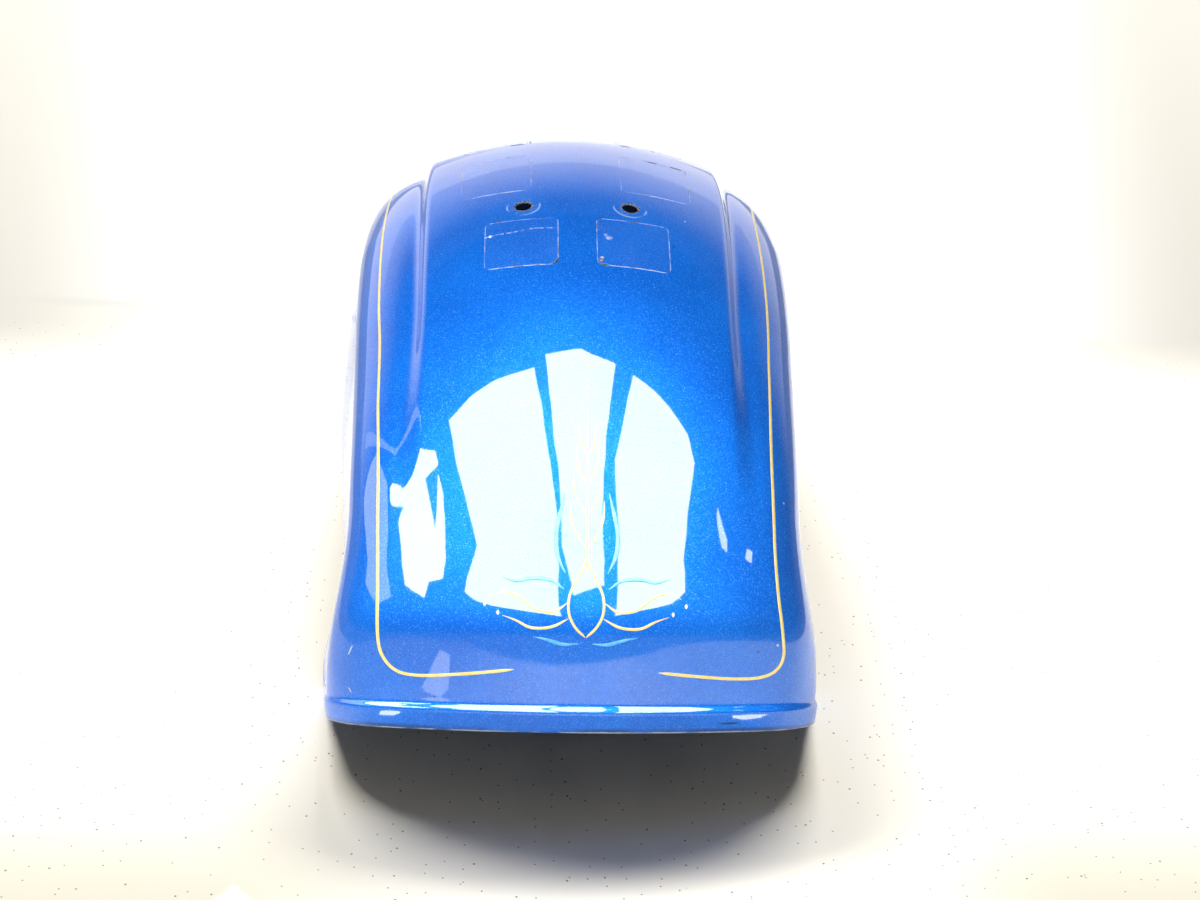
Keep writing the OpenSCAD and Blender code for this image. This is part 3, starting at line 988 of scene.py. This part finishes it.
def clearFilm(name, seed):
    make = Finish(name)
    place, edge = make.place(), make.measured("edge")
    along, across = make.measured("along"), make.measured("across")
    shift = (seed * 0.37, seed * 0.61, 0.0)
    shifted = make.node("ShaderNodeVectorMath", {"operation": "ADD"}, {0: place, 1: shift})
    patchy = make.noise(shifted, 70, detail=3)
    fine = make.noise(shifted, 600, detail=3)
    rim = make.between(edge, 0.55, 0.1) * make.between(patchy, 0.38, 0.56, 0.15, 0.9)
    dark = make.between(edge, 0.55, 0.1) * make.between(patchy, 0.56, 0.62)
    haze = make.between(patchy, 0.5, 0.8) * 0.02
    olive = spots(make, along, across, filmLook["olivePlaces"], fine * 0.7 + edge * 0.5)
    amber = spots(make, along, across, filmLook["amberPlaces"], fine)
    wax = spots(make, along, across, filmLook["waxPlaces"], fine)
    smudge = spots(make, along, across, filmLook["smudges"], fine)
    middle, swing = filmLook["hairline"]
    wander = make.noise(place, 26)
    hair = make.between(make.size(along - middle - (wander - 0.5) * swing * 6), 0.5, 0.15)
    hair = hair * make.between(fine, 0.42, 0.52) * make.between(across, 0.0, -1.0)
    wax = make.larger(wax, make.larger(hair * 0.5, smudge * 0.25))
    layers = [(rim, "edge"), (dark, "grime"), (olive, "olive"), (wax, "wax"), (amber, "amber")]
    colour = make.layered(filmLook["clear"], [(part, filmLook[tone]) for part, tone in layers])
    alpha = filmLook["body"] + haze + rim * 0.62 + dark * 0.5 + olive * 0.55 + wax * 0.8 + amber * 0.9
    alpha = make.smaller(alpha, 0.95)
    rough = 0.06 + dark * 0.5 + fine * 0.05
    sockets = {"Base Color": colour, "Roughness": rough, "Alpha": alpha, "IOR": filmLook["ior"]}
    return make.close(make.surface(sockets))


def give(piece, material):
    piece.data.materials.clear()
    piece.data.materials.append(material)


give(shell, bluePaint())
yellow = lineEnamel("yellow_enamel", (1.0, 0.80, 0.26, 1), (0.96, 0.70, 0.17, 1))
give(stripes, yellow)
give(flourishYellow, yellow)
give(flourishBlue, lineEnamel("light_blue_enamel", (0.13, 0.56, 0.95, 1), (0.05, 0.40, 0.90, 1)))
give(flourishBeads, lineEnamel("white_enamel", (0.86, 0.92, 0.97, 1), (0.62, 0.76, 0.92, 1)))
for k, patch in enumerate(patches):
    give(patch, clearFilm(f"clear_film_{k}", k + 1))
print("finishes done")

# Floor, wall and lamps; metres and watts
studio = {
    "floorHalf": 3.0,
    "floorRoughness": 0.5,
    "floor": (0.95, 0.90, 0.78, 1),
    "farFloorShade": (0.60, 0.59, 0.56, 1),
    "paper": (0.95, 0.955, 0.965, 1),
    "nearCornerShade": (0.56, 0.53, 0.43, 1),
    "farCornerShade": (0.39, 0.373, 0.333, 1),
    "speck": (0.06, 0.05, 0.045, 1),
    # colour of the painted shadow line along the table's far edge
    "tableEdgeShadow": (0.45, 0.47, 0.50, 1),
    "grain": (0.55, 0.54, 0.52, 1),
    # layers of specks, as cells to a metre, radius in a cell and share of the cells without one
    "specks": [(46, 0.028, 0.62), (110, 0.05, 0.72)],
    "tableEdge": 0.306,
    "tableEdgeSlope": -0.041,
    # how far the table reaches in the paint's reflections: half its width, and its near edge
    "tableHalf": 0.43,
    "tableNear": -0.72,
    # middle of the painted shadow before the lip
    "shadowBeforeLip": -0.37,
    "roomAndShadowInPaint": (0.10, 0.105, 0.115, 1),
    "wallRadius": 2.95,
    "wallHeight": 3.0,
    "wallSteps": 96,
    "wallRoughness": 0.8,
    "wallBase": (0.05, 0.05, 0.05, 1),
    "wallSeen": (0.93, 0.94, 0.95, 1),
    "wallInPaint": ((0.03, 0.035, 0.04, 1), (1.46, 1.38, 1.26, 1)),
    "card": (0.98, 0.97, 0.95, 1),
    "world": (0.017, 0.0155, 0.013, 1),
    "behindLeft": {"place": (-1.22, 2.12, 3.30), "size": (1.7, 0.7), "power": 205},
    "behindRight": {"place": (0.76, 2.33, 3.30), "size": (1.7, 0.7), "power": 205},
    "above": {"place": (-0.45, -0.60, 1.95), "size": (0.9, 0.7), "power": 40},
    "front": {"place": (-0.25, -1.50, 0.60), "size": (0.9, 0.5), "power": 8},
    "cardRadius": 2.3,
    "cardCentre": (0, -0.1, 0.15),
    "sashLevel": 0.15,
}


def stagePiece(name, points, faces, material):
    mesh = bpy.data.meshes.new(name)
    mesh.from_pydata(points, [], faces)
    piece = bpy.data.objects.new(name, mesh)
    bpy.context.scene.collection.objects.link(piece)
    mesh.materials.append(material)
    return piece


def tableFinish():
    make = Finish("table_and_paper")
    place = make.place()
    x, y = make.axis(place, 0), make.axis(place, 1)
    line = y - x * studio["tableEdgeSlope"] - studio["tableEdge"]
    colour = make.mixed(make.between(line, -0.001, 0.001), studio["floor"], studio["paper"])
    # painted shade: darker towards the back, where the lamps light the floor more
    colour = make.mixed(make.between(y, -0.25, 1.3), colour, studio["farFloorShade"])
    # painted shadow: a soft grey line along the table's far edge, stronger on the left
    shade = make.between(make.size(line - 0.004), 0.012, 0.0) * make.between(x, 0.1, -0.3, 0.1, 0.7)
    colour = make.mixed(shade, colour, studio["tableEdgeShadow"])
    grain = make.noise(place, 900, detail=2) * 0.03
    colour = make.mixed(grain, colour, studio["grain"])
    # the corners of the view are less exposed: painted shade, darker and creamy
    wide = make.size(x - 0.04)
    cornerShade = make.between(y, 0.12, 0.30) * make.between(wide - y * 0.17, 0.10, 0.42)
    colour = make.mixed(cornerShade, colour, studio["farCornerShade"])
    cornerShade = make.between(y, -0.20, -0.36) * make.between(wide, 0.05, 0.22)
    colour = make.mixed(cornerShade, colour, studio["nearCornerShade"])
    # small specks of dirt on the table, ragged and unevenly spread
    cells = {"feature": "F1", "voronoi_dimensions": "2D"}
    for scale, radius, share in studio["specks"]:
        near = make.node("ShaderNodeTexVoronoi", cells, {"Vector": place, "Scale": scale})
        pick = make.node("ShaderNodeTexVoronoi", cells, {"Vector": place, "Scale": scale}, output=1)
        pick = make.axis(pick, 0)
        ragged = near + make.noise(place, 1500) * radius
        speck = make.between(ragged, radius * 1.7, radius * 1.3) * make.between(pick, share, share + 0.02)
        colour = make.mixed(speck * make.between(line, -0.02, -0.04) * 0.8, colour, studio["speck"])
    # in the paint the table ends close round the fender, has a painted shadow before the lip and is dimmer on
    # the left, a painted shade
    near, half = studio["tableNear"], studio["tableHalf"]
    table = make.between(wide, half + 0.02, half - 0.02) * make.between(y, near - 0.01, near + 0.01)
    front = (y - studio["shadowBeforeLip"]) * 1.5
    away = make.root(x * x + front * front)
    table = table * make.between(away, 0.15, 0.24) * make.between(x, -0.15, -0.26, 1.0, 0.45)
    colour = make.mixed(make.ray("Glossy") * (1 - table), colour, studio["roomAndShadowInPaint"])
    return make.close(make.surface({"Base Color": colour, "Roughness": studio["floorRoughness"]}))


def wallFinish():
    make = Finish("studio_wall")
    shader = make.surface({"Base Color": studio["wallBase"], "Roughness": studio["wallRoughness"]})
    seen, glossy, through = (make.ray(kind) for kind in ("Camera", "Glossy", "Transmission"))
    # in the paint the wall glows low down behind the fender, and is dark at its sides and by the camera
    place = make.place()
    x, y, z = (make.axis(place, k) for k in range(3))
    height = make.between(z, 2.6, 1.0, 0.04, 0.72) + make.between(z, 1.08, 1.04) * 0.28
    tone = make.between(y - x * 0.14, 0.58, 2.8, 0.03, 1.0) * height
    dark, bright = studio["wallInPaint"]
    colour = make.mixed(glossy, studio["wallSeen"], make.mixed(tone, dark, bright))
    glow = make.node("ShaderNodeEmission", {}, {"Color": colour, "Strength": 1.0})
    part = make.larger(seen, make.larger(glossy, through))
    return make.close(make.node("ShaderNodeMixShader", {}, {0: part, 1: shader, 2: glow}))


def floorAndWall():
    half = studio["floorHalf"]
    corners = [(-half, -half, 0), (half, -half, 0), (half, half, 0), (-half, half, 0)]
    floor = stagePiece("floor", corners, [(0, 1, 2, 3)], tableFinish())
    points, faces, steps = [], [], studio["wallSteps"]
    for k in range(steps):
        a = 2 * math.pi * k / steps
        x, y = studio["wallRadius"] * math.cos(a), studio["wallRadius"] * math.sin(a)
        points += [(x, y, 0), (x, y, studio["wallHeight"])]
        n = (k + 1) % steps
        faces.append((2 * k, 2 * k + 1, 2 * n + 1, 2 * n))
    return floor, stagePiece("wall", points, faces, wallFinish())


# Bright shapes that only the gloss sees, as a level and corners in degrees of
# (azimuth from +Y towards +X, elevation)
panels = {
    "left": (9.2, [(-105, 56), (-101, 63), (-100, 69), (-102, 77), (-103, 80), (-162, 68), (-175, 47),
                   (-178, 16), (-165, 24), (-149, 30), (-147, 40), (-132, 49)]),
    "middle": (9.2, [(-83, 83), (51, 87), (85, 85), (95, 79), (154, 69), (167, 51), (170, 34), (179, 32),
                     (-177, 43), (-172, 62)]),
    "right": (9.2, [(101, 74), (104, 68), (108, 63), (113, 56), (120, 51), (134, 44), (143, 36), (146, 30),
                    (160, 24), (169, 17), (164, 42), (155, 62)]),
    "side_window": (10, [(-104, 38), (-104.5, 46), (-112, 50), (-116.5, 49), (-119, 47.6), (-126.8, 45.1),
                         (-134, 39.8), (-138.7, 35.5), (-140.6, 31.3), (-137.1, 29.8), (-138, 26.7),
                         (-130.8, 27.3), (-123.8, 31.7), (-116.6, 35.1), (-113.4, 37.1), (-107, 36.9)]),
    "side_blind": (2.4, [(-76.7, 23.6), (-100.2, 36.8), (-114.8, 32.4), (-120.4, 28.7), (-128.4, 24.4),
                         (-125.8, 22.6), (-112.3, 19.1), (-100.5, 14.9), (-95.2, 14.9), (-72.9, 3.7),
                         (-73.2, 13.3)]),
    "side_rail": (1.5, [(-60, 5), (-73, 24.5), (-82, 36), (-90, 44), (-97, 47), (-97, 45.6), (-90, 42.2),
                        (-83, 34.5), (-75, 23.5), (-62, 4)]),
    "far_lamp": (6, [(122.6, 41), (124.4, 40), (127, 36.6), (128.3, 34.6), (127.3, 33.2), (124.9, 35.2),
                     (123.6, 38.7)]),
    "far_window": (6, [(120.1, 31.5), (122.4, 30.6), (121.1, 29.4), (118.9, 30.6)]),
}
# Sunlit spots on the table, seen only in the tail and the lip, as (x, y) in millimetres and a level
floorGlare = {
    "glare_tail": (2.6, [(-263, -642), (-238, -640), (-185, -522), (-180, -482), (-198, -477), (-212, -482),
                         (-240, -566)]),
    "glare_left": (7, [(-186, -372), (-176, -380), (-164, -366), (-160, -348), (-170, -338), (-180, -352)]),
    "glare_right": (7, [(196, -352), (186, -376), (170, -384), (158, -368), (160, -350), (176, -342)]),
}
# The dark sash before the side window, as (azimuth, elevation)
sash = [(-117, 44.4), (-124, 41.8), (-130.4, 38.9), (-127.5, 42), (-122, 46), (-117.6, 48.8)]


def softbox(name, level):
    make = Finish(name)
    return make.close(make.node("ShaderNodeEmission", {}, {"Color": studio["card"], "Strength": level}))


def cardPoints(corners, radius):
    points = []
    for azimuth, elevation in corners:
        a, e = math.radians(azimuth), math.radians(elevation)
        way = Vector((math.sin(a) * math.cos(e), math.cos(a) * math.cos(e), math.sin(e)))
        points.append(way * radius + Vector(studio["cardCentre"]))
    return points


def reflectionCards():
    radius = studio["cardRadius"]
    for name, (level, corners) in panels.items():
        finish = softbox(f"softbox_{name}", level)
        face = tuple(range(len(corners)))
        onlyInGloss(stagePiece(f"softbox_{name}", cardPoints(corners, radius), [face], finish))
    finish = softbox("sash", studio["sashLevel"])
    onlyInGloss(stagePiece("sash", cardPoints(sash, radius - 0.05), [tuple(range(len(sash)))], finish))
    for name, (level, corners) in floorGlare.items():
        points = [(x * mm, y * mm, 0.001) for x, y in corners]
        onlyInGloss(stagePiece(name, points, [tuple(range(len(points)))], softbox(name, level)))


def onlyInGloss(card):
    card.visible_camera = False
    card.visible_diffuse = False
    card.visible_shadow = False


def lamp(name):
    facts = studio[name]
    light = bpy.data.lights.new(name, "AREA")
    light.shape = "RECTANGLE"
    light.size, light.size_y = facts["size"]
    light.energy = facts["power"]
    holder = bpy.data.objects.new(name, light)
    bpy.context.scene.collection.objects.link(holder)
    holder.location = facts["place"]
    holder.rotation_euler = (-Vector(facts["place"])).to_track_quat("-Z", "Y").to_euler()
    holder.visible_glossy = False
    return holder


surroundings = floorAndWall()
reflectionCards()
# the photograph's fender is lit from above and its shadow from behind, so each lamp lights its own things
painted = bpy.data.collections.new("painted_pieces")
for piece in [shell, stripes, flourishYellow, flourishBlue, flourishBeads] + patches:
    painted.objects.link(piece)
ground = bpy.data.collections.new("ground")
for piece in surroundings:
    ground.objects.link(piece)
for name in ("behindLeft", "behindRight"):
    lamp(name).light_linking.receiver_collection = ground
for name in ("above", "front"):
    lamp(name).light_linking.receiver_collection = painted
world = bpy.data.worlds.new("studio")
world.use_nodes = True
world.node_tree.nodes["Background"].inputs["Color"].default_value = studio["world"]
bpy.context.scene.world = world
bpy.context.scene.view_settings.view_transform = "Standard"
print("studio done")

# The photograph's camera: place in millimetres, angles in degrees
shot = {
    "place": (-34.73, -1240.57, 757.95),
    "yaw": -2.538,
    "down": 29.27,
    "roll": 2.1405,
    "focalPixels": 2304.02,
    "imageWidth": 1200,
    "sensor": 36.0,
}


def photoCamera():
    a, e, r = (math.radians(shot[k]) for k in ("yaw", "down", "roll"))
    look = Vector((-math.sin(a) * math.cos(e), math.cos(a) * math.cos(e), -math.sin(e)))
    level = Vector((math.cos(a), math.sin(a), 0))
    rise = level.cross(look)
    right = level * math.cos(r) + rise * math.sin(r)
    up = -level * math.sin(r) + rise * math.cos(r)
    data = bpy.data.cameras.new("photo_camera")
    data.sensor_width = shot["sensor"]
    data.lens = shot["focalPixels"] / shot["imageWidth"] * shot["sensor"]
    data.clip_start, data.clip_end = 0.05, 30
    camera = bpy.data.objects.new("photo_camera", data)
    bpy.context.scene.collection.objects.link(camera)
    place = Vector(shot["place"]) * mm
    camera.matrix_world = Matrix(
        [[right[k], up[k], -look[k], place[k]] for k in range(3)] + [[0, 0, 0, 1]]
    )
    bpy.context.scene.camera = camera


photoCamera()
print("camera done")
